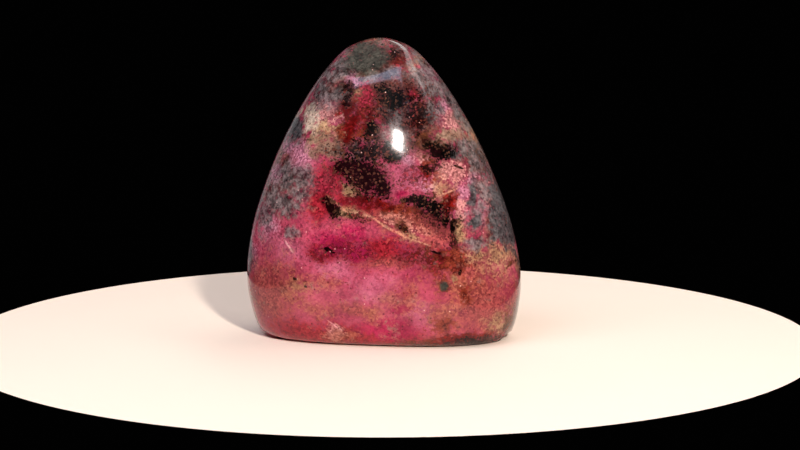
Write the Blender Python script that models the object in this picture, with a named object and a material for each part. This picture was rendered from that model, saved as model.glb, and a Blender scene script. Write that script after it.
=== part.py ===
"""A polished rhodonite freeform: one stone, ground to a rounded spire and cut flat so that it stands.

Metres, +Z up. The origin is the middle of the flat base, +X runs along the stone's broad side, and
the broad face with the flat under the tip looks towards -Y.
"""

import math

import bmesh
import bpy
from mathutils import Vector

MM = 0.001

# ---- driving dimensions, in millimetres ----

HEIGHT = 100.0
WIDTH = 92.4
DEPTH = 55.0

# The outline of the blank from the edge of the flat base up to the tip. Each row is a height, then
# the half-width and half-depth there, all as shares of HEIGHT, WIDTH / 2 and DEPTH / 2.
OUTLINE = (
    (0.000, 0.808, 0.700),
    (0.004, 0.870, 0.785),
    (0.018, 0.920, 0.868),
    (0.050, 0.951, 0.930),
    (0.105, 0.980, 0.980),
    (0.175, 1.000, 1.000),
    (0.275, 0.987, 0.990),
    (0.410, 0.922, 0.955),
    (0.545, 0.816, 0.893),
    (0.680, 0.684, 0.790),
    (0.810, 0.524, 0.602),
    (0.910, 0.362, 0.436),
    (0.973, 0.211, 0.255),
    (1.000, 0.000, 0.000),
)

# How square the level sections are: 2 is an ellipse, and more is boxier.
BASE_SQUARENESS = 2.55
TIP_SQUARENESS = 2.10

# The tip stands a little to the left of the middle of the base. The stone leans most low down and
# rises straight near the tip.
TIP_LEAN = -2.0

# The broad face turns to the right as it rises, by this many degrees from base to tip.
TIP_TURN = 17.0

# The flats that were ground on the blank, each with the soft edge that polishing left.
# Heading is the compass direction that the flat looks to, with 0 towards -Y and 90 towards +X.
# Rise is how far it looks up. Cut is how deep it was ground.
GROUND_FLATS = (
    {"name": "under the tip", "heading": 3.0, "rise": 44.0, "cut": 2.0, "softness": 1.2},
    {"name": "right shoulder", "heading": 62.0, "rise": 25.0, "cut": 0.9, "softness": 1.6},
    {"name": "left shoulder", "heading": -50.0, "rise": 27.0, "cut": 1.2, "softness": 1.8},
    {"name": "right cheek", "heading": 42.0, "rise": 8.0, "cut": 0.6, "softness": 2.4},
    {"name": "left cheek", "heading": -34.0, "rise": 6.0, "cut": 0.6, "softness": 2.4},
    {"name": "back", "heading": 176.0, "rise": 12.0, "cut": 1.6, "softness": 2.0},
    {"name": "back left", "heading": -136.0, "rise": 20.0, "cut": 1.6, "softness": 2.0},
    {"name": "back right", "heading": 140.0, "rise": 28.0, "cut": 1.8, "softness": 2.0},
)

# A ground flat is never quite flat: this much of what stood past its plane is left as a faint crown.
CROWN_LEFT = 0.04

# Quads along one side of each of the six patches that cover the stone.
PATCH_QUADS = 28

# How closely the rings of quads lie, from base to tip: sparse on the flat base, and dense up to
# where its rounded edge ends.
BASE_PACE = 0.5
EDGE_PACE = 1.8
EDGE_TOP = 8.0


# ---- the shape ----


def through(points, at):
    """The point at 0 to 1 along a Catmull-Rom curve through points, with its ends carried on."""
    first = points[0] * 2 - points[1]
    # The curve crosses the stone's axis level, so the point past the tip mirrors the one before it.
    last = Vector((points[-2].x, -points[-2].y, -points[-2].z))
    guides = [first, *points, last]
    place = min(at, 0.999999) * (len(points) - 1)
    start = int(place)
    t = place - start
    a, b, c, d = guides[start : start + 4]
    return 0.5 * (b * 2 + (c - a) * t + (a * 2 - b * 5 + c * 4 - d) * t**2 + (b * 3 - a - c * 3 + d) * t**3)


def paced_profile(steps=400):
    """Points from the middle of the base out to its edge and up to the tip, and how far along each lies."""
    knots = [Vector((h * HEIGHT, w * WIDTH / 2, d * DEPTH / 2)) for h, w, d in OUTLINE]
    profile = [Vector((0.0, 0.0, 0.0))]
    profile += [through(knots, i / steps) for i in range(steps + 1)]
    lengths = [0.0, (profile[1] - profile[0]).length * BASE_PACE]
    for before, after in zip(profile[1:], profile[2:]):
        pace = EDGE_PACE if after.x < EDGE_TOP else 1.0
        lengths.append(lengths[-1] + (after - before).length * pace)
    return profile, [length / lengths[-1] for length in lengths]


def profile_at(share, profile, shares):
    """Height, half-width and half-depth at a share of the way from the base's middle to the tip."""
    for i, reached in enumerate(shares[1:]):
        if share <= reached:
            t = (share - shares[i]) / (reached - shares[i])
            return profile[i].lerp(profile[i + 1], t)
    return profile[-1]


def blank_point(direction, profile, shares):
    """Where a point of a unit ball lands when the ball is shaped into the blank."""
    polar = math.acos(max(-1.0, min(1.0, -direction.z)))
    height, half_width, half_depth = profile_at(polar / math.pi, profile, shares)
    around = math.atan2(direction.y, direction.x)
    risen = height / HEIGHT
    lean = TIP_LEAN * risen * (2 - risen)
    turn = math.radians(TIP_TURN) * risen
    squareness = BASE_SQUARENESS + (TIP_SQUARENESS - BASE_SQUARENESS) * risen
    across, along = math.cos(around), math.sin(around)
    swell = (abs(across) ** squareness + abs(along) ** squareness) ** (-1 / squareness)
    x, y = half_width * swell * across, half_depth * swell * along
    return Vector(
        (
            x * math.cos(turn) - y * math.sin(turn) + lean,
            x * math.sin(turn) + y * math.cos(turn),
            height,
        )
    )


def grind(points, flat):
    """The points after one flat is ground: what stood past its plane is taken down to it."""
    heading = math.radians(flat["heading"])
    rise = math.radians(flat["rise"])
    level = math.cos(rise)
    outward = Vector((math.sin(heading) * level, -math.cos(heading) * level, math.sin(rise)))
    plane = max(point.dot(outward) for point in points) - flat["cut"]
    soft = flat["softness"]
    ground = []
    for point in points:
        past = point.dot(outward) - plane
        # Within the soft edge the surface eases into the flat. The base stays as it was sawn.
        if past > -soft and point.z > 0:
            eased = -((soft - past) ** 2) / (4 * soft) if past < soft else CROWN_LEFT * (past - soft)
            point = point - outward * (past - eased)
        ground.append(point)
    return ground


def ball_of_quads(bm):
    """A cube cut into even quads and blown up to a unit ball, so that no pole pinches the surface."""
    bmesh.ops.create_cube(bm, size=2.0)
    bmesh.ops.subdivide_edges(bm, edges=bm.edges[:], cuts=PATCH_QUADS - 1, use_grid_fill=True)
    for vertex in bm.verts:
        evened = [math.tan(c * math.pi / 4) for c in vertex.co]
        vertex.co = Vector(evened).normalized()


def centred_on_base(points):
    """The points moved so that the middle of their box is over the origin."""
    xs = [point.x for point in points]
    ys = [point.y for point in points]
    middle = Vector(((min(xs) + max(xs)) / 2, (min(ys) + max(ys)) / 2, 0))
    return [point - middle for point in points]


def make_stone():
    """The stone's mesh, in metres."""
    profile, shares = paced_profile()
    bm = bmesh.new()
    ball_of_quads(bm)
    points = [blank_point(vertex.co, profile, shares) for vertex in bm.verts]
    for flat in GROUND_FLATS:
        points = grind(points, flat)
    for vertex, point in zip(bm.verts, centred_on_base(points)):
        vertex.co = point * MM
    bmesh.ops.recalc_face_normals(bm, faces=bm.faces)
    mesh = bpy.data.meshes.new("rhodonite_stone")
    bm.to_mesh(mesh)
    bm.free()
    mesh.shade_smooth()
    return mesh


def polished_rhodonite():
    """Rose pink manganese silicate, polished."""
    material = bpy.data.materials.new("polished_rhodonite")
    material.use_nodes = True
    shader = material.node_tree.nodes["Principled BSDF"]
    shader.inputs["Base Color"].default_value = (0.48, 0.10, 0.15, 1.0)
    shader.inputs["Roughness"].default_value = 0.15
    shader.inputs["Metallic"].default_value = 0.0
    shader.inputs["IOR"].default_value = 1.73
    return material


def main():
    for obj in list(bpy.data.objects):
        bpy.data.objects.remove(obj, do_unlink=True)
    stone = bpy.data.objects.new("rhodonite_stone", make_stone())
    stone.data.materials.append(polished_rhodonite())
    bpy.context.scene.collection.objects.link(stone)


main()
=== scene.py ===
# %% [markdown]
# # A polished rhodonite freeform
#
# This lesson dresses one stone. The frame brings the solid that was measured: a rounded
# spire, 100 mm tall, on a flat base. Everything here is in metres, with +Z up, and the broad face
# looks towards -Y. The lesson makes the camera, a finer body for the stone, the minerals that run
# through it, and a plain floor under soft lights.

# %% Load the frame
import math
import time

import bpy
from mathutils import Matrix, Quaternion, Vector


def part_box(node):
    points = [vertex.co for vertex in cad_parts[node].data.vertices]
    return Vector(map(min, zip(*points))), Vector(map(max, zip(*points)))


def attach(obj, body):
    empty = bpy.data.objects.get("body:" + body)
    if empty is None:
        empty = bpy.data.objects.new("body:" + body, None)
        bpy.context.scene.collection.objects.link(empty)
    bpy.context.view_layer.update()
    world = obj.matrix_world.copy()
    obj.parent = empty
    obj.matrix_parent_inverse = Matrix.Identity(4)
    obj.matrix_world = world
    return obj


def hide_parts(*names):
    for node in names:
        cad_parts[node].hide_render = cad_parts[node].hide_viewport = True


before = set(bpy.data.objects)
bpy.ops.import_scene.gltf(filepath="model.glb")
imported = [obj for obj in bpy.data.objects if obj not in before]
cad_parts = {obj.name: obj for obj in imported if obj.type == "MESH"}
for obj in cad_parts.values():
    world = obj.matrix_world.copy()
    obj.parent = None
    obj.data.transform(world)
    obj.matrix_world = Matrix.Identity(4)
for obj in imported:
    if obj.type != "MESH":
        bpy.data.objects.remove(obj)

MM = 0.001
started = time.time()
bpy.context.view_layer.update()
stone_low, stone_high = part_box("rhodonite_stone")
stone_size = stone_high - stone_low
print("the stone measures", [round(side / MM, 1) for side in stone_size], "mm")

# %% [markdown]
# ## The camera
#
# The stone is seen from about half a metre away and from the height of its tip, by a lens of 70 mm
# that looks a little down, which keeps the flat under the tip in view. The camera stands ten degrees
# to the right of straight ahead, so that a little more of the right flank shows than of the left. It
# is made first, because everything else is judged through it.

# %% Set up the camera
CAMERA_TURN = math.radians(10.0)
CAMERA_DISTANCE = 520 * MM
CAMERA_HEIGHT = 101.7 * MM
CAMERA_DROP = math.radians(7.07)
# The stone stands a little to the left of the middle of the view.
CAMERA_ASIDE = math.radians(0.6)
LENS_MM = 70
SENSOR_MM = 36

bpy.ops.object.camera_add(
    location=(
        CAMERA_DISTANCE * math.sin(CAMERA_TURN),
        -CAMERA_DISTANCE * math.cos(CAMERA_TURN),
        CAMERA_HEIGHT,
    ),
    rotation=(math.pi / 2 - CAMERA_DROP, 0, CAMERA_TURN - CAMERA_ASIDE),
)
camera = bpy.context.object
camera.name = "camera"
camera.data.lens = LENS_MM
camera.data.sensor_width = SENSOR_MM
bpy.context.scene.camera = camera
print("the camera stands at", [round(c, 3) for c in camera.location])

# %% [markdown]
# ## The body of the stone
#
# A freeform is ground by hand on a wheel and then polished with finer and finer belts, so its faces
# run into each other with no sharp edge. The solid has this shape, but its facets of two or
# three millimetres would show in the gloss. A copy of it, merged and subdivided, is the gauge. The
# stone itself starts as a cube that is cut into even squares and cast into a ball. A ball made this
# way has no pole, where quads would bunch up and pinch a reflection. It is stretched to the size of
# the stone, wrapped onto the gauge, relaxed so that its squares lie evenly, and wrapped again.


# %% Two helpers for working with the mesh
def select_only(piece):
    """Leaves piece as the one selected and active object."""
    bpy.ops.object.select_all(action="DESELECT")
    piece.select_set(True)
    bpy.context.view_layer.objects.active = piece


def apply_modifier(piece, kind, **settings):
    """Adds a modifier of that kind to piece, with its settings, and applies it."""
    select_only(piece)
    modifier = piece.modifiers.new(kind.lower(), kind)
    for name, value in settings.items():
        setattr(modifier, name, value)
    bpy.ops.object.modifier_apply(modifier=modifier.name)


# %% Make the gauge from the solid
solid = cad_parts["rhodonite_stone"]
gauge = bpy.data.objects.new("gauge", solid.data.copy())
bpy.context.scene.collection.objects.link(gauge)
select_only(gauge)
bpy.ops.object.mode_set(mode="EDIT")
bpy.ops.mesh.select_all(action="SELECT")
bpy.ops.mesh.remove_doubles(threshold=0.001 * MM)
bpy.ops.mesh.tris_convert_to_quads(face_threshold=math.pi, shape_threshold=math.pi)
bpy.ops.object.mode_set(mode="OBJECT")
apply_modifier(gauge, "SUBSURF", levels=2, render_levels=2)
print("the gauge has", len(gauge.data.polygons), "faces")

# %% Cast a cube into a ball of even squares
CUTS = 23
middle = (stone_low + stone_high) / 2
bpy.ops.object.select_all(action="DESELECT")
bpy.ops.mesh.primitive_cube_add(size=1, location=(0, 0, 0))
stone = bpy.context.object
stone.name = "rhodonite_body"
bpy.ops.object.mode_set(mode="EDIT")
bpy.ops.mesh.select_all(action="SELECT")
bpy.ops.mesh.subdivide(number_cuts=CUTS)
bpy.ops.object.mode_set(mode="OBJECT")
apply_modifier(stone, "CAST", cast_type="SPHERE", factor=1.0, size=1.0, use_radius_as_size=False)
ball_size = stone.dimensions.copy()
select_only(stone)
bpy.ops.object.mode_set(mode="EDIT")
bpy.ops.mesh.select_all(action="SELECT")
bpy.ops.transform.resize(value=[side / ball for side, ball in zip(stone_size, ball_size)])
bpy.ops.transform.translate(value=middle)
bpy.ops.object.mode_set(mode="OBJECT")
print("the ball has", len(stone.data.polygons), "squares")

# %% Wrap it onto the gauge
WRAPS = 4
for wrap in range(WRAPS):
    apply_modifier(stone, "SHRINKWRAP", target=gauge, wrap_method="NEAREST_SURFACEPOINT")
    if wrap < WRAPS - 1:
        apply_modifier(stone, "SMOOTH", factor=0.5, iterations=10)
apply_modifier(stone, "SUBSURF", levels=2, render_levels=2)
apply_modifier(stone, "SHRINKWRAP", target=gauge, wrap_method="NEAREST_SURFACEPOINT")
bpy.ops.object.shade_smooth()
print("the stone has", len(stone.data.polygons) * 2, "triangles")

# %% [markdown]
# ## Rhodonite, cut and polished
#
# Rhodonite is a silicate of manganese. It grows as a mass of sugary grains, rose pink where it is
# pure. Cracks let in water, which left black oxides of manganese along them, grey and olive
# silicates round them, and ochre and rust where iron came with it. All of this runs right through
# the stone, and grinding only shows where the surface happens to cut it. So the pattern is solid
# too: it reads Object coordinates, in millimetres, and wraps round every side with no seam.
#
# Each mineral is a layer, laid on from the palest to the darkest. Where it lies is told by a few
# ellipsoids with their middles on the broad face, because that is how such patches are seen and
# described: so far across, so far up, so wide, so tall and so tilted. Noise then bends the space
# that the ellipsoids sit in and frays their edges. The rest of the stone is filled by noise alone.

# %% Colours, and one function that adds a node
def linear(code):
    """The linear colour of an sRGB hex code, with an alpha of one."""
    channels = []
    for start in (1, 3, 5):
        part = int(code[start : start + 2], 16) / 255
        channels.append(part / 12.92 if part <= 0.04045 else ((part + 0.055) / 1.055) ** 2.4)
    return (*channels, 1.0)


def add(tree, kind, inputs=(), **settings):
    """Adds a node of that kind. Each of its inputs is given a value, or another node's output."""
    node = tree.nodes.new("ShaderNode" + kind)
    for name, value in settings.items():
        setattr(node, name, value)
    for name, value in dict(inputs).items():
        if isinstance(value, bpy.types.NodeSocket):
            tree.links.new(value, node.inputs[name])
        else:
            node.inputs[name].default_value = value
    return node


polished = bpy.data.materials.new("polished rhodonite")
polished.use_nodes = True
tree = polished.node_tree
tree.nodes.clear()
print("rose pink in linear light is", [round(part, 3) for part in linear("#B85E76")[:3]])

# %% Millimetres, and the noises that every layer shares
place = add(tree, "TexCoord").outputs["Object"]
place_mm = add(tree, "VectorMath", {0: place, "Scale": 1 / MM}, operation="SCALE").outputs["Vector"]

# Each row is the size of a noise in millimetres, its detail and its roughness.
NOISES = {
    "bend": (11.0, 2.0, 0.50),
    "wrinkle": (3.4, 2.0, 0.60),
    "cloud": (8.0, 3.0, 0.60),
    "rags": (4.6, 3.0, 0.70),
    "crumbs": (1.7, 2.0, 0.75),
}
noise = {}
for name, (size_mm, detail, roughness) in NOISES.items():
    noise[name] = add(
        tree,
        "TexNoise",
        {"Vector": place_mm, "Scale": 1 / size_mm, "Detail": detail, "Roughness": roughness},
    )
# The rock's own grains: each Voronoi cell is one, and has one lot between nothing and one. Real
# grains go down to a tenth of a millimetre, and these are as coarse as they need to be to show.
GRAIN_MM = 0.62
grains = add(tree, "TexVoronoi", {"Vector": place_mm, "Scale": 1 / GRAIN_MM})
noise["grain"] = add(tree, "SeparateColor", {0: grains.outputs["Color"]})
print("the noises are", ", ".join(noise))

# %% Bend the space that the patches sit in
# Two of the noises bend it, by about so many millimetres. Their colours lie round a middle grey.
BENDS_MM = (("bend", 5.0), ("wrinkle", 3.0))
MIDDLE_GREY = (0.5, 0.5, 0.5)
bent = place_mm
for name, reach_mm in BENDS_MM:
    shift = add(
        tree,
        "VectorMath",
        {0: noise[name].outputs["Color"], 1: MIDDLE_GREY},
        operation="SUBTRACT",
    )
    shift = add(tree, "VectorMath", {0: shift.outputs[0], "Scale": reach_mm}, operation="SCALE")
    bent = add(tree, "VectorMath", {0: bent, 1: shift.outputs[0]}, operation="ADD").outputs[0]
print("the patches are bent by up to", sum(reach_mm for name, reach_mm in BENDS_MM) / 2, "mm")


# %% Mix the noises into looks
# A Mix node takes two plain values at its inputs 2 and 3, or two colours at its inputs 6 and 7.
def blend(first, second, share, low=0.33, high=0.67):
    """The output that mixes two noises, spread so that it runs from nothing at low to one at high."""
    mixed = add(tree, "Mix", {0: share, 2: noise[first].outputs[0], 3: noise[second].outputs[0]})
    spread = add(tree, "MapRange", {"Value": mixed.outputs[0], "From Min": low, "From Max": high})
    return spread.outputs["Result"]


# How each kind of mineral looks close up. The first noise says which of its two shades a spot has,
# and the second, from nothing to one, how far the edge of its patches reaches there. Soft minerals
# pass into each other like clouds, and speckled ones are as sugary as the rock's grains. Mottled
# ones lie in crumbs, clouded ones in wisps, and crumbly ones are dark with a few bright crumbs.
soft = (blend("cloud", "crumbs", 0.30), blend("rags", "crumbs", 0.20))
speckled = (blend("cloud", "grain", 0.40, 0.20, 0.80), blend("rags", "grain", 0.20, 0.25, 0.75))
mottled = (blend("wrinkle", "crumbs", 0.55, 0.38, 0.62), blend("rags", "crumbs", 0.40, 0.33, 0.67))
clouded = (blend("wrinkle", "crumbs", 0.25, 0.34, 0.66), blend("rags", "crumbs", 0.30))
crumbly = (blend("crumbs", "grain", 0.65, 0.67, 0.93), blend("crumbs", "grain", 0.30, 0.25, 0.75))
print("the looks took the nodes to", len(tree.nodes))

# %% [markdown]
# ## Where each mineral lies
#
# A patch is a row: how far across from the middle and how far up its own middle is, its half width
# and half height, all in millimetres, and how many degrees its right end drops. Its two shades are
# a deep one and a bright one. The edge says over what share of its size a patch fades out, the
# rags how much that edge is frayed, and the cover how much of what lies under it it hides. Most
# says how solid its middle is: at 1 it is whole, and at 0.5 only every other crumb is of the
# mineral. Wild says how much of the back and the flanks the mineral takes, from none at 0 to half
# at 0.5. The grain is one of the looks that were made from the noises.
#
# The stone's own mineral comes first, because the others lie in it. Rhodonite is pale rose where it
# is pure and fine, and magenta or crimson where its grains are clear enough for light to go deep.
# Air and water stain it brown near the tip, and brick low down on both sides.
# One brick patch at the right edge, low down, is painted shade.

# %% List the rhodonite in all its colours
RHODONITE = (
    {
        "name": "stained rhodonite",
        "shades": ("#3E1E1A", "#7A4C44"),
        "grain": mottled,
        "edge": 0.5, "rags": 0.7, "cover": 0.95, "most": 1.0, "wild": 0.50,
        "patches": (
            (31, 60, 6, 8, -30),
            (-30, 56, 9, 16, 20),
            (37, 44, 6, 12, -10),
            (1, 88, 26, 22, 0),
            (14, 72, 14, 12, 0),
            (-15, 82, 9, 10, -20),
        ),
    },
    {
        "name": "pale rose rhodonite",
        "shades": ("#8C384E", "#B85E76"),
        "grain": soft,
        "edge": 0.6, "rags": 0.6, "cover": 0.9, "most": 1.0, "wild": 0.50,
        "patches": (
            (-30, 32, 10, 5, 5),
            (-22, 62, 6, 5, 0),
            (28, 47, 3.5, 8, 0),
            (24, 74, 4, 5, -20),
            (11, 57, 5, 6, 20),
            (35, 47, 3, 8, 0),
            (-13, 76, 6, 4, 10),
            (-35, 37, 6, 4, 0),
            (-37, 44, 3, 3, 0),
            (2, 20.5, 9, 4, 0),
            (16, 11, 4.2, 4.2, 0),
            (-12, 26, 7.5, 3.2, 5),
        ),
    },
    {
        "name": "lavender rhodonite",
        "shades": ("#84465A", "#BC7C90"),
        "grain": speckled,
        "edge": 0.5, "rags": 0.6, "cover": 0.85, "most": 1.0, "wild": 0.40,
        "patches": (
            (17.5, 53, 3.6, 2.4, 0),
            (11.5, 61, 2.5, 2.5, 0),
            (-1, 67.3, 2.4, 1.4, 0),
            (-8, 86, 2.0, 3.0, 0),
            (22, 78, 3, 2.5, 0),
            (-33, 55, 3, 3, 0),
            (31, 54.5, 2, 2, 0),
            (-23.5, 62.5, 3.8, 4.2, 0),
            (-28.8, 64, 3, 2.6, 0),
            (-42, 28, 2.4, 5, 0),
            (-34, 38.5, 3.2, 3, 0),
            (28.3, 49.8, 1.6, 2.0, 0),
            (24.6, 73, 2.0, 2.4, 0),
        ),
    },
    {
        "name": "brick rhodonite and painted edge shade",
        "shades": ("#622626", "#9A4844"),
        "grain": speckled,
        "edge": 0.6, "rags": 0.6, "cover": 0.9, "most": 0.9, "wild": 0.48,
        "patches": (
            (-34, 17, 11, 11, 0),
            (36, 13, 14, 12, 0),
            (12, 3, 22, 2.5, 0),
            (29, 26, 11, 6, 0),
            (12, 42, 17, 4.5, 12),
            (23, 37, 7, 4, 10),
            (-5, 13, 7, 2.5, 0),
            (-5, 3, 7, 2.5, 0),
            (6, 29, 12, 3, 0),
            (30, 20, 9, 5, 0),
            (20, 34, 7, 3, 0),
            # This patch is painted shade: it darkens the right edge low down, to damp the floor that
            # the gloss mirrors there.
            (45.3, 14, 2.0, 9, 0),
        ),
    },
    {
        "name": "crimson rhodonite",
        "shades": ("#640812", "#9E2632"),
        "grain": speckled,
        "edge": 0.5, "rags": 0.6, "cover": 0.95, "most": 1.0, "wild": 0.42,
        "patches": (
            (-16, 47, 5, 6, 0),
            (-7, 48.5, 5, 2.5, 20),
            (-15, 3.5, 26, 4.5, 0),
            (3, 4, 12, 3, 0),
            (-14, 54.5, 5.5, 5, 0),
            (-2, 47.6, 7, 2.6, 8),
            (4.5, 33, 6.5, 3.2, 0),
            (-16, 31.6, 4.6, 2.3, 8),
        ),
    },
    {
        "name": "magenta rhodonite",
        "shades": ("#70082A", "#AC204E"),
        "grain": soft,
        "edge": 0.5, "rags": 0.6, "cover": 0.9, "most": 1.0, "wild": 0.38,
        "patches": (
            (-5, 37.5, 4, 3, 10),
            (-4, 31.5, 5, 3, 0),
            (-12, 34.5, 7, 3.5, 8),
            (10.5, 13.5, 3, 1.8, 0),
            (6, 6, 11, 3.4, 0),
            (10, 50.6, 2.0, 1.5, 0),
        ),
    },
    {
        "name": "salmon rhodonite",
        "shades": ("#884848", "#CC8C88"),
        "grain": speckled,
        "edge": 0.35, "rags": 0.7, "cover": 0.9, "most": 1.0, "wild": 0.36,
        "patches": (
            (24.5, 57, 5.2, 3.2, -8),
            (33.5, 52, 2, 2.6, 0),
            (36, 48, 1.6, 4, 0),
            (-12, 5, 2.6, 2.6, 30),
            (10, 41, 6, 2, 20),
            (16, 61.5, 2.4, 1.4, 0),
            (24.6, 73, 3.2, 3.4, 0),
            (-14, 76, 6, 3, 8),
            (28.3, 45, 1.8, 3.2, 0),
        ),
    },
)
print("rhodonite:", ", ".join(mineral["name"] for mineral in RHODONITE))

# %% [markdown]
# ### What water brought
#
# Water that went through cracks brought iron, silica and more manganese. Iron left ochre and rust
# between the grains, thin enough for the rose to show through. Cream quartz filled a pocket, and
# silicates grew round it, tan, olive and brown. Each is a layer that hides what is under it only as
# far as its cover says, so a stain stays a stain. A few brown and deep red patches along the base
# on the right are painted shade, where the stone meets the floor.

# %% List the stains and the pocket
STAINS = (
    {
        "name": "ochre",
        "shades": ("#6A4836", "#9E7C5C"),
        "grain": speckled,
        "edge": 0.8, "rags": 0.8, "cover": 0.85, "most": 0.9, "wild": 0.38,
        "patches": (
            (40.5, 28.5, 6, 5, 0),
            (34, 30, 5, 2.6, -10),
            (27.8, 38.3, 1.4, 2.8, 0),
            (12.5, 37.3, 3.5, 1.4, 20),
            (-6.5, 44.3, 3.4, 1.6, 10),
            (-6, 51.9, 2.6, 1.1, 10),
            (22, 51, 3, 4, -20),
            (-9.5, 69, 2.5, 3.5, 0),
            (12, 93, 2.5, 2.5, 0),
            (-5.5, 82, 1.5, 2, 0),
            (41, 7, 3.6, 3.2, 0),
            (-24, 20.8, 2.4, 1.9, 20),
        ),
    },
    {
        "name": "iron stain",
        "shades": ("#6E2C1A", "#A2604A"),
        "grain": speckled,
        "edge": 0.9, "rags": 1.0, "cover": 0.65, "most": 0.9, "wild": 0.38,
        "patches": (
            (-23.5, 21, 4, 3, 0),
            (-25, 17, 4.5, 2, 0),
            (-18, 13, 4, 2.4, 0),
            (7.5, 17.5, 3.6, 3, 0),
            (13, 17.5, 3.5, 5, 0),
            (26, 15.5, 2.6, 2.2, 0),
            (-10, 3.4, 5, 2.0, 0),
            (10, 42, 6, 2.2, 20),
            (-14, 22, 4, 2.0, 20),
            (2, 12, 3, 3, 0),
            (24, 12, 4, 4, 0),
            (30, 20, 5, 3.4, 0),
        ),
    },
    {
        "name": "tan silicate",
        "shades": ("#785640", "#BC9872"),
        "grain": mottled,
        "edge": 0.5, "rags": 0.8, "cover": 0.85, "most": 1.0, "wild": 0.34,
        "patches": (
            (-11.8, 71.3, 3.2, 1.4, 5),
            (-18, 68.3, 3.0, 1.6, 0),
            (-28.5, 74, 1.6, 3, -20),
            (-6.5, 44.3, 3.0, 1.3, 10),
            (28.6, 38.6, 1.8, 3.0, 0),
            (-6.4, 51.6, 2.7, 0.9, 28),
            (-15.6, 71.4, 4.6, 1.8, 8),
            (26.8, 22.8, 1.0, 1.2, 0),
        ),
    },
    {
        "name": "olive silicate",
        "shades": ("#5A3C2E", "#9C7E6A"),
        "grain": soft,
        "edge": 0.5, "rags": 0.8, "cover": 0.9, "most": 1.0, "wild": 0.40,
        "patches": (
            (-14, 65.5, 6, 4, 0),
            (-18, 68, 4, 2, 0),
            (24, 68, 5, 2.2, 0),
            (-2, 88, 3, 2, 0),
            (29.5, 64.5, 2.5, 3, 0),
        ),
    },
    {
        "name": "brown silicate and painted base shade",
        "shades": ("#240C06", "#6A3A22"),
        "grain": mottled,
        "edge": 0.5, "rags": 0.9, "cover": 0.9, "most": 1.0, "wild": 0.34,
        "patches": (
            (15.5, 69.5, 4, 5, 10),
            (13.5, 75, 3, 3, 0),
            (10, 39.6, 2.2, 1.3, 15),
            (43.4, 26, 2.4, 0.6, -35),
            (-10, 82.5, 3.2, 3, 0),
            (22, 30, 4.5, 1.8, 15),
            # These three patches are painted shade: they darken the base edge on the right, where the
            # stone meets the floor.
            (24, 1.2, 15, 2, -2),
            (43.5, 5.5, 3, 5, 0),
            (34, 2, 9, 1.8, -3),
            (-9.6, 79, 2.2, 4, 0),
            (23.6, 20.4, 1.5, 2.0, 0),
        ),
    },
    {
        "name": "cream quartz",
        "shades": ("#A8886F", "#F0DCCA"),
        "grain": soft,
        "edge": 0.45, "rags": 0.7, "cover": 0.92, "most": 1.0, "wild": 0.0,
        "patches": (
            (-26.3, 75.2, 1.5, 1.2, -60),
            (-21.4, 73.9, 2.9, 3.8, -10),
        ),
    },
    {
        "name": "rust",
        "shades": ("#3A0605", "#843626"),
        "grain": mottled,
        "edge": 0.45, "rags": 1.0, "cover": 0.95, "most": 0.95, "wild": 0.36,
        "patches": (
            (-10, 69.5, 2.2, 3.5, 0),
            (3, 75, 4, 5, 0),
            (17.3, 57.5, 2.8, 4, 0),
            (24.3, 47.5, 2, 3, 0),
            (12.5, 82, 3, 2.4, 0),
            (6, 94.5, 3.6, 4, 20),
            (25, 28.5, 6, 5, 0),
            (14, 31.3, 2, 0.9, 0),
            (9, 45.5, 7, 2, 8),
            (24.5, 27.5, 4, 3, 0),
            (23.5, 8.5, 3, 3, 0),
            (-8.5, 74, 3, 5, 0),
            (-3, 76, 5, 4, 0),
            (-5, 69.5, 7, 4, 0),
            (0.5, 74, 3, 4, 0),
            (30.5, 19, 2, 3, 0),
        ),
    },
    {
        "name": "deep red rhodonite and painted base shade",
        "shades": ("#2E0304", "#7C1410"),
        "grain": mottled,
        "edge": 0.5, "rags": 0.9, "cover": 0.95, "most": 0.95, "wild": 0.34,
        "patches": (
            (24.2, 47.5, 2.2, 3, 0),
            (3, 48, 6, 2.2, 10),
            (12.5, 82, 3, 3, 0),
            (13, 74, 4, 4, 0),
            # This patch is painted shade on the base edge at the right, where the stone meets the
            # floor.
            (30, 2, 10, 2.6, -3),
            (1.5, 71.5, 4.6, 4.2, 0),
            (-9, 78, 3, 3, 0),
            (17.2, 57.5, 2.2, 2.6, 0),
            (-7.0, 71, 1.6, 4.6, 0),
        ),
    },
)
print("stains:", ", ".join(mineral["name"] for mineral in STAINS))
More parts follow.
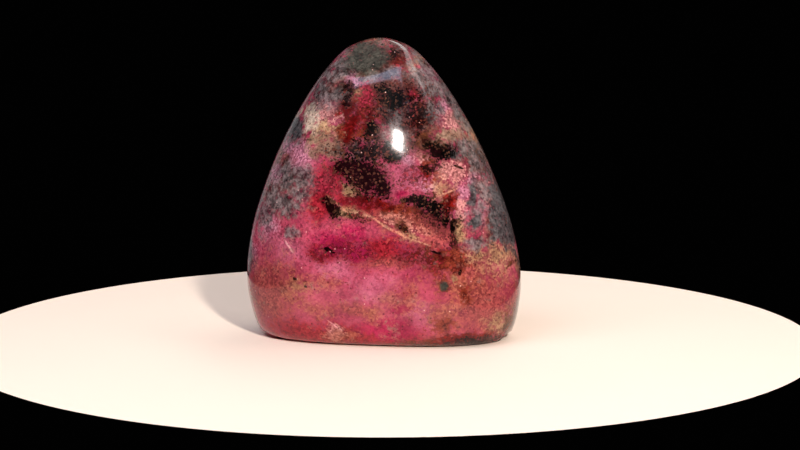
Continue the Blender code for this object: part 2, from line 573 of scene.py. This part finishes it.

# %% [markdown]
# ### Veins, and painted highlights on a scratch and a crease
#
# A healed crack shows as a thin pale line. A curve could draw it, but then it would lie on the stone
# and not in it. A patch that is ten times as long as it is tall does the same, and a few of them end
# to end make a line that turns a little. Two short pale streaks of the same kind are painted
# highlights, where a scratch and a crease catch the light. Round the cracks the rhodonite is broken
# and dark, so crumbs of dark crimson go on with the veins.

# %% List the veins
VEINS = (
    {
        "name": "veins",
        "shades": ("#B06A50", "#E0A088"),
        "grain": soft,
        "edge": 0.9, "rags": 0.5, "cover": 0.75, "most": 1.0, "wild": 0.0,
        "patches": (
            (-12.2, 48.3, 2.2, 0.30, 40),
            (-8.6, 45.4, 2.8, 0.28, 38),
            (-3.2, 43.9, 4.2, 0.30, 12),
            (3.6, 41.0, 4.2, 0.32, 33),
            (10.6, 37.2, 4.4, 0.34, 26),
            (16, 35, 3.0, 0.26, 20),
            (20.0, 48.4, 2.6, 0.26, -62),
            (23.4, 50.2, 3.0, 0.24, -22),
            (21.3, 53, 2.8, 0.26, -55),
            (26.5, 40.5, 2.4, 0.24, 60),
        ),
    },
    {
        "name": "painted scratch glints",
        "shades": ("#D88A90", "#F0C4C4"),
        "grain": soft,
        "edge": 0.9, "rags": 0.4, "cover": 0.8, "most": 1.0, "wild": 0.0,
        "patches": (
            # Both are painted highlights: a scratch and a crease, pale where they catch the light.
            (-11.6, 7.4, 2.0, 0.24, 35),
            (-27.1, 32.9, 1.9, 0.3, 50),
        ),
    },
    {
        "name": "dark crimson",
        "shades": ("#3E0A10", "#902430"),
        "grain": crumbly,
        "edge": 0.4, "rags": 1.3, "cover": 0.85, "most": 0.62, "wild": 0.34,
        "patches": (
            (-5, 32, 6, 3, 0),
            (-15, 31.6, 4, 2, 0),
            (16, 30.5, 6, 3, 10),
            (13, 56.5, 3, 3, 0),
            (12, 82, 4, 3, 0),
            (6, 94.5, 4, 4, 20),
            (1, 78, 3, 2.5, 0),
            (-2, 48.2, 6, 2.4, 8),
            (-4.5, 74.5, 5.5, 5, 0),
        ),
    },
)
print("veins:", ", ".join(mineral["name"] for mineral in VEINS))

# %% [markdown]
# ### Grey silicates
#
# The greys at the tip and on the flanks are silicates too, poorer in manganese and as fine as ash.
# They lie in wisps, so they have the clouded look: a wrinkled noise with a few crumbs in it. The
# disc near the tip and the wedge on the right flank are whole, and the others let the rose through.
# Two grey patches at the key's glint are painted reflection, the haze round it.

# %% List the greys
GREYS = (
    {
        "name": "grey silicate",
        "shades": ("#1E1C1D", "#7A7071"),
        "grain": clouded,
        "edge": 0.7, "rags": 0.9, "cover": 0.85, "most": 0.95, "wild": 0.50,
        "patches": (
            (-13, 81, 4, 3, 0),
            (-29, 70.5, 4, 6.5, -20),
            (-19.5, 54, 3, 2.2, 0),
            (-29, 55, 5, 4.5, 0),
            (-31, 47, 7, 4.5, 0),
            (-37, 43, 4.5, 6, 0),
            (-26, 38.2, 2.8, 1.6, 0),
            (18, 83, 5, 6, -20),
            (18.5, 75.5, 3.5, 4, 0),
            (27.5, 63.5, 4.5, 2.6, 10),
            (32, 61, 3.5, 5, -25),
            (35.3, 55.5, 2.5, 4, -20),
            (33.5, 34.5, 3.5, 2, -10),
            (-3, 63.7, 8.5, 2.6, 0),
            (6, 65, 4, 4, 0),
            # These two patches are painted reflection, not silicate: the grey haze round and above the
            # key's glint.
            (15, 90, 4, 6, -30),
            (7, 72, 5, 5, 0),
            (35.5, 48, 2.5, 6, 0),
            (33, 52, 3, 2.5, 0),
            (-22, 56, 6.5, 3.4, 5),
            (4, 88, 7, 2.2, -10),
            (-19, 83.5, 6.5, 5.5, 0),
            (-12.8, 91, 4.4, 6.2, 0),
            (-23.6, 50.5, 3.6, 2.8, 0),
            (-17, 88.5, 3, 4.5, -40),
            (33.4, 42, 3.2, 3.4, 0),
            (-19, 85, 2.8, 4, -35),
            (-43.4, 29, 1.5, 6.5, 0),
        ),
    },
    {
        "name": "green grey silicate",
        "shades": ("#272723", "#42413A"),
        "grain": clouded,
        "edge": 0.3, "rags": 0.3, "cover": 0.96, "most": 1.0, "wild": 0.0,
        "patches": (
            (-4.2, 93.8, 7.4, 6.2, 0),
            (23.4, 20.8, 1.0, 1.5, 0),
        ),
    },
    {
        "name": "charcoal silicate",
        "shades": ("#2A282A", "#585456"),
        "grain": clouded,
        "edge": 0.25, "rags": 0.4, "cover": 0.95, "most": 1.0, "wild": 0.36,
        "patches": (
            (-27, 70.5, 2.2, 3.4, -20),
            (23.5, 63, 3, 1.6, 0),
            (41.0, 42, 4.4, 13, -13),
            (31.0, 48.4, 1.8, 3.4, 0),
            (33.5, 41, 2.0, 1.6, 0),
        ),
    },
)
print("greys:", ", ".join(mineral["name"] for mineral in GREYS))

# %% [markdown]
# ### Black manganese oxide, and what is clear
#
# The black is what gives rhodonite its look. Manganese oxide grew out from the cracks in crumbs and
# specks, with a ragged edge and brown crumbs left inside it. It is two layers: a broken mottle, and
# whole black over its middle. Between them lie a few clear grains, which look dark and red, as
# garnet does, because light goes far into them.

# %% List the darks
DARKS = (
    {
        "name": "dark mottle",
        "shades": ("#080202", "#602F26"),
        "grain": crumbly,
        "edge": 0.3, "rags": 1.0, "cover": 0.92, "most": 0.95, "wild": 0.38,
        "patches": (
            (0, 64, 11, 3.5, 0),
            (19, 59, 3, 1.2, 0),
            (-4.5, 43, 3.5, 1.5, 15),
            (10, 39.6, 1.8, 1.1, 15),
            (7, 80, 8.5, 5.5, 0),
            (-8.5, 84, 2.2, 2, 0),
            (26.4, 36.5, 1.0, 4.0, -10),
            (33, 1.6, 6, 1.2, -3),
            (13.8, 75.5, 4.0, 5.5, -20),
            (4.6, 95, 1.6, 2.2, 20),
            (-8.6, 80, 1.4, 2.6, 0),
            (20.8, 44.2, 7.6, 3.6, 34),
        ),
    },
    {
        "name": "clear rhodonite",
        "shades": ("#5C101C", "#962A3C"),
        "grain": speckled,
        "edge": 0.7, "rags": 0.9, "cover": 0.9, "most": 1.0, "wild": 0.0,
        "patches": (
            (-3.4, 84.8, 2.2, 1.2, 0),
            (-2.6, 81, 2.0, 3.4, 0),
            (-14.5, 54, 3.6, 3.6, 0),
            (12.5, 82.5, 1.0, 1.0, 0),
        ),
    },
    {
        "name": "garnet",
        "shades": ("#3A0204", "#5E0C0A"),
        "grain": soft,
        "edge": 0.5, "rags": 0.8, "cover": 0.9, "most": 1.0, "wild": 0.0,
        "patches": (
            (-6.8, 71.4, 1.9, 4.4, 0),
        ),
    },
    {
        "name": "black manganese oxide",
        "shades": ("#020101", "#543428"),
        "grain": crumbly,
        "edge": 0.25, "rags": 0.5, "cover": 0.97, "most": 1.0, "wild": 0.40,
        "patches": (
            (17.5, 47.2, 4.5, 1.6, 10),
            (25.8, 40.2, 1.3, 2.2, -20),
            (6.5, 61.6, 3.4, 1.4, 0),
            (3, 82.5, 3, 2, 0),
            (27, 58.4, 1.6, 0.35, 25),
            (20.8, 31.6, 1.8, 0.5, 22),
            (-25, 22.8, 0.6, 0.5, 0),
            (-13.3, 32, 1.7, 0.6, 32),
            (-8.6, 58.8, 3.6, 3.4, 0),
            (2.6, 52.8, 3.6, 3.2, 30),
            (19, 66.2, 3.4, 2.2, 0),
            (21.5, 63.8, 4.4, 3.2, 15),
            (-2.6, 56, 9.4, 5.2, 28),
            (14.5, 48, 5, 1.6, 0),
            (0.3, 70.3, 2.8, 3.0, 0),
            (28.6, 24.6, 0.7, 1.0, 0),
            (-11.6, 45.6, 4.0, 2.3, 52),
            (23.6, 42.6, 1.8, 1.8, 30),
            (7.5, 79.5, 4.2, 2.4, 0),
            (19.4, 46.0, 3.8, 1.5, 34),
            (-21.0, 20.0, 0.6, 0.34, 15),
        ),
    },
)
print("darks:", ", ".join(mineral["name"] for mineral in DARKS))

# %% Put them in the order in which they are laid
MINERALS = RHODONITE + STAINS + VEINS + GREYS + DARKS
print(len(MINERALS), "minerals in", sum(len(mineral["patches"]) for mineral in MINERALS), "patches")

# %% [markdown]
# ## Laying the minerals on
#
# A patch is a Mapping node of the texture kind, which turns the stone's millimetres into the
# patch's own, and a spherical Gradient, which is one in the middle and fades evenly to nothing at
# twice the patch's size. The greatest of a mineral's gradients tells how near a point lies to that
# mineral, and it is at its edge where this is a half. The middle of a patch has to be on the
# surface, so a ray from the front finds how deep that is.
#
# On the back and the flanks a large noise of the mineral's own stands in for patches, so that the
# same minerals go on all round the stone, in other places.

# %% Lay the ground
GROUND_SHADES = ("#82263E", "#B04A5E")
# On the broad face only patches are laid. The wild minerals start at the first of these distances
# towards +Y, and from the second on they are whole.
WILD_FROM_MM = -9.0
WILD_WHOLE_MM = -2.0

axes = add(tree, "SeparateXYZ", {0: place_mm})
far_back = add(
    tree,
    "MapRange",
    {"Value": axes.outputs["Y"], "From Min": WILD_FROM_MM, "From Max": WILD_WHOLE_MM},
    interpolation_type="SMOOTHSTEP",
).outputs["Result"]
colour = add(
    tree,
    "Mix",
    {0: soft[0], 6: linear(GROUND_SHADES[0]), 7: linear(GROUND_SHADES[1])},
    data_type="RGBA",
).outputs[2]
print("the ground lies under everything, from", *GROUND_SHADES)

# %% Tell how near a point lies to a mineral
# How far a patch goes in from the surface, and what its gradient has fallen to at its edge.
PATCH_DEPTH_MM = 14.0
EDGE_AT = 0.5
# A vein or a scratch as thin as this runs straight, through space that isn't bent.
THIN_MM = 0.4
# The size of a mineral's own noise, how much larger that of the next mineral is, and how steeply
# the noise rises at the edge of what is laid by it.
WILD_SIZE_MM = 15.0
WILD_STEP_MM = 1.3
WILD_SLOPE = 4.0


def on_face(across, up):
    """The point of the broad face that far across and up, in millimetres."""
    hit, point, _, _ = gauge.ray_cast(Vector((across * MM, -1, up * MM)), Vector((0, 1, 0)))
    if not hit:
        raise ValueError(f"no stone at {across}, {up}")
    return point / MM


def near_patches(patches):
    """One in the middle of any of the patches, a half at its edge and nothing far from them all."""
    near = 0.0
    for across, up, half_wide, half_tall, tilt in patches:
        own = add(
            tree,
            "Mapping",
            {
                "Vector": place_mm if half_tall < THIN_MM else bent,
                "Location": on_face(across, up),
                "Rotation": (0, math.radians(tilt), 0),
                "Scale": (half_wide / EDGE_AT, PATCH_DEPTH_MM / EDGE_AT, half_tall / EDGE_AT),
            },
            vector_type="TEXTURE",
        )
        blob = add(tree, "TexGradient", {"Vector": own.outputs[0]}, gradient_type="SPHERICAL")
        near = add(tree, "Math", {0: near, 1: blob.outputs["Fac"]}, operation="MAXIMUM").outputs[0]
    return near


def near_wild(near, share, size_mm):
    """The same with a noise at the back laid beside the patches. At a share of 0.5 it takes half."""
    field = add(tree, "TexNoise", {"Vector": bent, "Scale": 1 / size_mm, "Detail": 2.0})
    over = add(tree, "Math", {0: field.outputs["Fac"], 1: share - 1}, operation="ADD")
    over = add(tree, "Math", {0: over.outputs[0], 1: WILD_SLOPE, 2: EDGE_AT}, operation="MULTIPLY_ADD")
    kept = add(tree, "Math", {0: over.outputs[0], 1: far_back}, operation="MULTIPLY", use_clamp=True)
    return add(tree, "Math", {0: near, 1: kept.outputs[0]}, operation="MAXIMUM").outputs[0]


print("halfway up, the broad face is", round(-on_face(0, 50).y, 1), "mm in front of the middle")

# %% Lay the minerals over the ground
masks = {}
for number, mineral in enumerate(MINERALS):
    near = near_patches(mineral["patches"])
    if mineral["wild"]:
        near = near_wild(near, mineral["wild"], WILD_SIZE_MM + WILD_STEP_MM * number)
    near = add(tree, "Math", {0: near, 1: mineral["most"]}, operation="MINIMUM").outputs[0]
    shade, reach = mineral["grain"]
    reach = add(tree, "Math", {0: reach, 1: 0.5}, operation="SUBTRACT").outputs[0]
    torn = add(tree, "Math", {0: reach, 1: mineral["rags"], 2: near}, operation="MULTIPLY_ADD")
    mask = add(
        tree,
        "MapRange",
        {
            "Value": torn.outputs[0],
            "From Min": EDGE_AT - mineral["edge"] / 2,
            "From Max": EDGE_AT + mineral["edge"] / 2,
            "To Max": mineral["cover"],
        },
        interpolation_type="SMOOTHSTEP",
    ).outputs["Result"]
    masks[mineral["name"]] = mask
    deep, bright = [linear(code) for code in mineral["shades"]]
    shades = add(tree, "Mix", {0: shade, 6: deep, 7: bright}, data_type="RGBA")
    colour = add(tree, "Mix", {0: mask, 6: colour, 7: shades.outputs[2]}, data_type="RGBA").outputs[2]
print("the pattern has", len(tree.nodes), "nodes")

# %% [markdown]
# ## Flecks and cracks
#
# Close up, the stone is sprinkled with flecks no wider than a pin: dark ones of oxide, and pale
# ones that are painted sparkles, where grains catch the light. Particles could strew them, but they
# are inside the stone and not on it, so they are part of the pattern. Each sits in a Voronoi cell,
# and only some of the cells have one.
# Fine cracks run along the edges of much larger cells, and show only here and there.

# %% Sprinkle the flecks
# Each row is the distance between flecks and their radius in millimetres, the share of the cells
# that have one, and its colour. Real ones are finer, and these are as coarse as they need to show.
FLECKS = {
    "dark": (1.5, 0.30, 0.13, "#4A141A"),
    # The pale flecks are painted sparkles: grains that catch the light.
    "pale": (1.6, 0.20, 0.08, "#D8A8A0"),
}
FLECK_COVER = 0.75
# A fleck starts to fade this share of its radius inside its rim, and is gone as far outside it.
FLECK_BLUR = 0.3
for name, (spacing_mm, radius_mm, share, code) in FLECKS.items():
    cells = add(tree, "TexVoronoi", {"Vector": place_mm, "Scale": 1 / spacing_mm})
    lot = add(tree, "SeparateColor", {0: cells.outputs["Color"]})
    drawn = add(tree, "Math", {0: lot.outputs[0], 1: share}, operation="LESS_THAN")
    edge = radius_mm / spacing_mm
    dot = add(
        tree,
        "MapRange",
        {
            "Value": cells.outputs["Distance"],
            "From Min": (1 + FLECK_BLUR) * edge,
            "From Max": (1 - FLECK_BLUR) * edge,
        },
    )
    mask = add(tree, "Math", {0: drawn.outputs[0], 1: dot.outputs[0]}, operation="MULTIPLY").outputs[0]
    mask = add(tree, "Math", {0: mask, 1: FLECK_COVER}, operation="MULTIPLY").outputs[0]
    colour = add(tree, "Mix", {0: mask, 6: colour, 7: linear(code)}, data_type="RGBA").outputs[2]
    print(name, "flecks are", 2 * radius_mm, "mm wide, in", round(100 * share), "% of the cells")

# %% Draw the cracks
CRACK_SPACING_MM = 8.0
CRACK_WIDTH_MM = 0.16
CRACK_COLOUR = "#3C0E10"
CRACK_COVER = 0.55
# A crack shows where a noise is over the first of these, and shows in full over the second.
CRACK_SHOWS = (0.48, 0.60)
cracks = add(
    tree,
    "TexVoronoi",
    {"Vector": bent, "Scale": 1 / CRACK_SPACING_MM},
    feature="DISTANCE_TO_EDGE",
)
line = add(
    tree,
    "MapRange",
    {
        "Value": cracks.outputs["Distance"],
        "From Min": CRACK_WIDTH_MM / CRACK_SPACING_MM,
        "From Max": 0.0,
    },
)
broken = add(
    tree,
    "MapRange",
    {
        "Value": noise["rags"].outputs["Fac"],
        "From Min": CRACK_SHOWS[0],
        "From Max": CRACK_SHOWS[1],
    },
)
mask = add(tree, "Math", {0: line.outputs[0], 1: broken.outputs[0]}, operation="MULTIPLY").outputs[0]
mask = add(tree, "Math", {0: mask, 1: CRACK_COVER}, operation="MULTIPLY").outputs[0]
colour = add(tree, "Mix", {0: mask, 6: colour, 7: linear(CRACK_COLOUR)}, data_type="RGBA").outputs[2]
print("a crack is", CRACK_WIDTH_MM, "mm wide, about every", CRACK_SPACING_MM, "mm")

# %% [markdown]
# ## Grain and gloss
#
# Rhodonite is a mass of grains like sugar, and each of them turns the light its own way, so that
# one is a little darker than the next. That is a swing of the colour's brightness from grain to
# grain. It could be made with bumps, but the stone is ground and polished right across its grains.
#
# The polish was made with finer and finer belts and a felt wheel. It gives the eye a small bright
# glint with a faint haze round it, and weak reflections elsewhere. Real rhodonite has an index of
# 1.73. Grain edges and fine scratches take much of the mirror away, so the specular level is low,
# and a thin and rougher coat makes the haze.

# %% Add the grain
# The clean rhodonite of the lower third has a fainter grain than what lies over it. The first two
# are heights, and the others say how far the brightness swings below and above them.
FAINT_UP_TO_MM = 20.0
STRONG_FROM_MM = 34.0
FAINT_SWING = 0.24
STRONG_SWING = 0.50
strength = add(
    tree,
    "MapRange",
    {
        "Value": axes.outputs["Z"],
        "From Min": FAINT_UP_TO_MM,
        "From Max": STRONG_FROM_MM,
        "To Min": FAINT_SWING,
        "To Max": STRONG_SWING,
    },
)
speckle = blend("crumbs", "grain", 0.5, 0.2, 0.8)
uneven = add(tree, "Math", {0: speckle, 1: 2.0, 2: -1.0}, operation="MULTIPLY_ADD")
light_and_dark = add(
    tree,
    "Math",
    {0: uneven.outputs[0], 1: strength.outputs[0], 2: 1.0},
    operation="MULTIPLY_ADD",
)
grained = add(tree, "VectorMath", {0: colour, "Scale": light_and_dark.outputs[0]}, operation="SCALE")
print("the brightness swings by", FAINT_SWING, "low down and by", STRONG_SWING, "higher up")

# %% Add the gloss
# The black mineral is softer than the rhodonite, so polishing leaves it a little lower and pitted.
PIT_DEPTH_MM = 0.1
PITS_ELSEWHERE = 0.02
PITS_IN_BLACK = 0.35
pitted = add(
    tree,
    "MapRange",
    {"Value": masks["black manganese oxide"], "To Min": PITS_ELSEWHERE, "To Max": PITS_IN_BLACK},
)
pits = add(
    tree,
    "Bump",
    {
        "Height": noise["crumbs"].outputs["Fac"],
        "Strength": pitted.outputs[0],
        "Distance": PIT_DEPTH_MM * MM,
    },
)
shader = add(
    tree,
    "BsdfPrincipled",
    {
        "Base Color": grained.outputs[0],
        "Normal": pits.outputs[0],
        "Roughness": 0.09,
        "IOR": 1.73,
        "Specular IOR Level": 0.15,
        "Coat Weight": 0.08,
        "Coat Roughness": 0.18,
    },
)
add(tree, "OutputMaterial", {"Surface": shader.outputs[0]})
stone.data.materials.append(polished)
print("the whole material has", len(tree.nodes), "nodes")

# %% [markdown]
# ## The floor
#
# The floor is a plain pale table top, as round and as small as the stand that such a stone is shown
# on, and past its edge there is plain darkness. It could run to the horizon, but every bright thing
# is mirrored in the polish, and a floor with no end would light the whole lower half of the stone.
# It is painted matt, so it gives the eye an even tone, a soft shadow and no reflection.

# %% Lay the floor
FLOOR_RADIUS = 144 * MM
# The stone stands this much in front of the middle of the floor, and a hair above it.
FLOOR_BACK = 8 * MM
FLOOR_DROP = 0.05 * MM
bpy.ops.object.select_all(action="DESELECT")
bpy.ops.mesh.primitive_circle_add(
    vertices=256,
    radius=FLOOR_RADIUS,
    fill_type="NGON",
    location=(0, FLOOR_BACK, -FLOOR_DROP),
)
floor = bpy.context.object
floor.name = "floor"
table_top = bpy.data.materials.new("matt pale table top")
table_top.use_nodes = True
paint = table_top.node_tree.nodes["Principled BSDF"]
paint.inputs["Base Color"].default_value = linear("#FBE7D6")
paint.inputs["Roughness"].default_value = 0.75
floor.data.materials.append(table_top)
print("the floor is", round(2 * FLOOR_RADIUS / MM), "mm wide")

# %% [markdown]
# ## The lights
#
# A polished stone is lit twice over. Its colour and its shadow come from all the light that falls on
# it, and its gloss mirrors the lamps themselves, so that their shapes and places are seen. One lamp
# seldom does both well. So the key is a pair: one lamp that is seen only in the gloss, and one that
# lights only what is matt. The skylight and the fills each do one of the two as well. Real studios
# do the same with flags and cards.
#
# The key stands to the right, rather low, and throws the shadow back to the left. Its glint is a
# tall narrow softbox. The skylight is a wide bluish one overhead, and is mirrored as a band in the
# flat under the tip. The strip draws the pale curved line on the right shoulder. A fill in front and
# one behind keep the far sides of the stone from going black. Two faint rims draw its outline, and
# a faint lamp overhead lifts its tip out of the darkness.

# %% List the softboxes
# Turn and rise say where a softbox stands, in degrees: how far to the right of straight ahead, and
# how far up. Lean turns it in its own plane. It stands so far away and is so wide and so tall, in
# metres. One with matt False is seen only in the gloss, and one with gloss False never is.
SOFTBOXES = (
    {"name": "key glint", "turn": 22.5, "rise": 30.5, "lean": 18, "away": 1.1,
     "wide": 0.085, "tall": 0.23, "watts": 15, "colour": "#FFF9F2", "matt": False},
    {"name": "key", "turn": 27, "rise": 25.5, "lean": 0, "away": 1.1,
     "wide": 0.05, "tall": 0.12, "watts": 15.5, "colour": "#FFF9F2", "gloss": False},
    {"name": "left rim", "turn": -132, "rise": 4, "lean": 0, "away": 0.9,
     "wide": 0.4, "tall": 0.45, "watts": 0.21, "colour": "#FFFFFF"},
    {"name": "right rim", "turn": 122, "rise": 34, "lean": 0, "away": 0.9,
     "wide": 0.8, "tall": 0.7, "watts": 0.13, "colour": "#FFFFFF"},
    {"name": "overhead", "turn": 180, "rise": 78, "lean": 0, "away": 1.0,
     "wide": 1.0, "tall": 0.7, "watts": 0.6, "colour": "#FFFFFF"},
    {"name": "skylight glint", "turn": 14, "rise": 60, "lean": 0, "away": 0.9,
     "wide": 0.7, "tall": 0.28, "watts": 3.9, "colour": "#D0DCFF", "matt": False},
    {"name": "fill", "turn": -38, "rise": 52, "lean": 0, "away": 0.9,
     "wide": 0.7, "tall": 0.5, "watts": 4.0, "colour": "#E6ECFF", "gloss": False},
    {"name": "back fill", "turn": 188, "rise": 18, "lean": 0, "away": 0.9,
     "wide": 0.8, "tall": 0.5, "watts": 2.2, "colour": "#FFFAF6", "gloss": False},
    {"name": "strip", "turn": 128, "rise": 60, "lean": 0, "away": 0.9,
     "wide": 1.15, "tall": 0.2, "watts": 3.4, "colour": "#FFF6F2"},
)
print(len(SOFTBOXES), "softboxes give", round(sum(box["watts"] for box in SOFTBOXES), 1), "watts")

# %% Hang the softboxes
# They all look at the middle of the stone.
look_at = Vector((0, 0, 50 * MM))
for box in SOFTBOXES:
    turn, rise = math.radians(box["turn"]), math.radians(box["rise"])
    level = math.cos(rise)
    toward = Vector((math.sin(turn) * level, -math.cos(turn) * level, math.sin(rise)))
    bpy.ops.object.light_add(type="AREA", location=look_at + toward * box["away"])
    lamp = bpy.context.object
    lamp.name = box["name"]
    lean = Quaternion((0, 0, 1), -math.radians(box["lean"]))
    lamp.rotation_euler = (toward.to_track_quat("Z", "Y") @ lean).to_euler()
    lamp.visible_diffuse = box.get("matt", True)
    lamp.visible_glossy = box.get("gloss", True)
    lamp.data.shape = "RECTANGLE"
    lamp.data.size = box["wide"]
    lamp.data.size_y = box["tall"]
    lamp.data.energy = box["watts"]
    lamp.data.color = linear(box["colour"])[:3]
    print(lamp.name, "stands at", [round(c, 2) for c in lamp.location])

# %% Darken the room
DARKNESS = (0.0004, 0.0004, 0.0004, 1.0)
world = bpy.data.worlds.new("dark room")
world.use_nodes = True
world.node_tree.nodes["Background"].inputs["Color"].default_value = DARKNESS
bpy.context.scene.world = world
bpy.context.scene.view_settings.view_transform = "Standard"
print("the room is", world.name)

# %% [markdown]
# ## Joining the frame
#
# The finer body now takes the place of the solid. It rides on the one body that the stone
# has, so it goes where that goes. The gauge has done its work. The floor is only the stage.

# %% Join the frame
bpy.data.objects.remove(gauge)
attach(stone, "root")
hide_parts("rhodonite_stone")

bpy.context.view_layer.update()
print("made in", round(time.time() - started, 1), "s")
